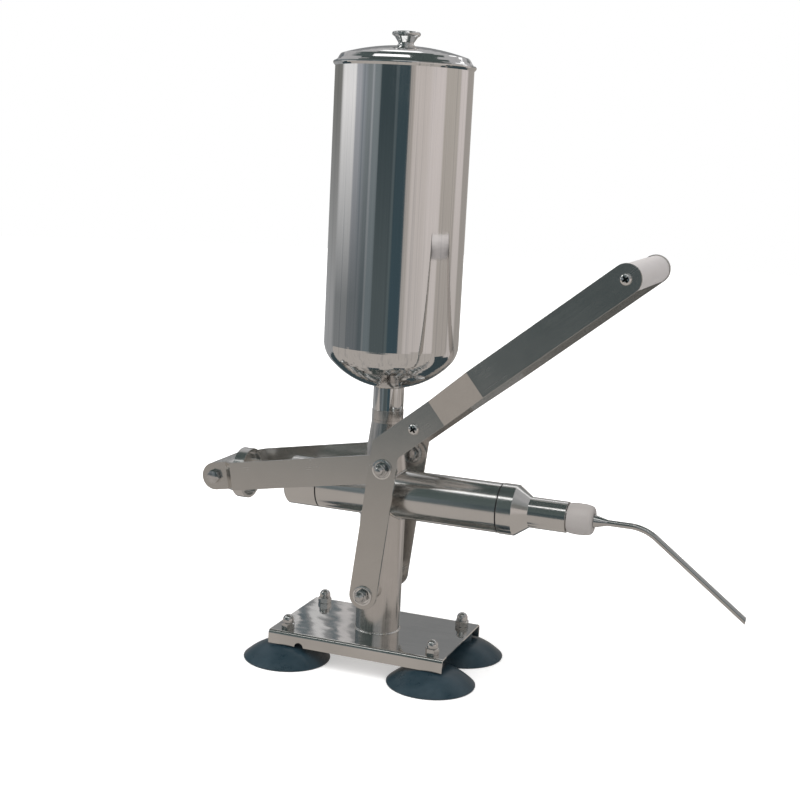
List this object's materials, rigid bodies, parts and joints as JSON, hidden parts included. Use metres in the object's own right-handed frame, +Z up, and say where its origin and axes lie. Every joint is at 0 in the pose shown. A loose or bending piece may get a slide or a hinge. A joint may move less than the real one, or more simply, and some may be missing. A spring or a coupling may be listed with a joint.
{
  "type": "doughnut filling machine",
  "caption": "Hand-lever pastry filler: a tall steel hopper over a horizontal pump barrel with a bent needle, worked by a forked lever and link bars, on a plate with suction feet.",
  "frame": {"origin": "on the table plane under the middle of the whole machine, with the column standing behind it", "axes": "+X along the barrel towards the needle, +Z up, +Y to the left of the needle; the machine is alike on both sides of the plane Y = 0"},
  "size_m": [0.5857, 0.191, 0.6605],
  "materials": {
    "plate_steel": "brushed along the flat bar",
    "tube_steel": "turned and lightly polished",
    "mirror_steel": "polished to a mirror",
    "needle_steel": "ground and polished",
    "zinc": "bright fastener",
    "cup_rubber": "satin, slate blue",
    "seal_rubber": "satin",
    "white_plastic": "turned white plastic"
  },
  "bodies": {
    "frame": {"base_plate": "plate_steel", "suction_cups": "cup_rubber", "cup_studs": "zinc", "cap_nuts": "zinc", "column": "tube_steel", "pivot_tube": "tube_steel", "barrel": "tube_steel", "neck": "tube_steel", "rear_cap": "tube_steel", "rod_bush": "white_plastic", "rod_seal": "seal_rubber", "rear_o_ring": "seal_rubber", "front_o_ring": "seal_rubber", "front_cap": "tube_steel", "valve_retainer": "needle_steel", "valve_spring": "needle_steel", "nozzle_gasket": "seal_rubber", "nozzle_nut": "white_plastic", "needle_nozzle": "needle_steel", "union_ring": "tube_steel", "hopper_gasket": "seal_rubber", "hopper": "mirror_steel"},
    "lever": {"lever_plate_near": "plate_steel", "lever_plate_far": "plate_steel", "pivot_bolt": "zinc", "pivot_washers": "zinc", "pivot_nut": "zinc", "link_bolts": "zinc", "link_washers": "zinc", "link_nuts": "zinc", "tie_rod": "zinc", "tie_screws": "zinc", "grip": "white_plastic", "grip_screws": "zinc"},
    "piston": {"piston": "white_plastic", "piston_seals": "seal_rubber", "piston_nut": "zinc", "piston_rod": "needle_steel", "stroke_stop": "tube_steel", "crosshead": "tube_steel", "crosshead_bolts": "zinc"},
    "links": {"link_bar_near": "plate_steel", "link_bar_far": "plate_steel"},
    "lid": {"lid": "mirror_steel", "lid_knob": "mirror_steel", "knob_screw": "zinc"},
    "ball": {"valve_ball": "needle_steel"}
  },
  "joints": [
    {"name": "lever_pivot", "type": "hinge", "parent": "frame", "child": "lever", "pos_m": [-0.0925, 0, 0.0815], "axis": [0, 1, 0], "range_deg": [0, 22]},
    {"name": "piston_slide", "type": "slide", "parent": "frame", "child": "piston", "axis": [1, 0, 0], "range_m": [0, 0.0492]},
    {"name": "link_pivot", "type": "hinge", "parent": "piston", "child": "links", "pos_m": [-0.2765, 0, 0.1835], "axis": [0, 1, 0], "range_deg": [0, 4.1]},
    {"name": "lid_lift", "type": "slide", "parent": "frame", "child": "lid", "axis": [0, 0, 1], "range_m": [0, 0.12]},
    {"name": "ball_lift", "type": "slide", "parent": "frame", "child": "ball", "axis": [1, 0, 0], "range_m": [0, 0.0035], "stiffness_N_per_m": 150, "springref_m": -0.01, "deforming": ["valve_spring"]}
  ],
  "couplings": [
    {"joint": "piston_slide", "follows": "lever_pivot", "m_per_rad": 0.12745},
    {"joint": "link_pivot", "follows": "lever_pivot", "ratio": 0.182}
  ]
}
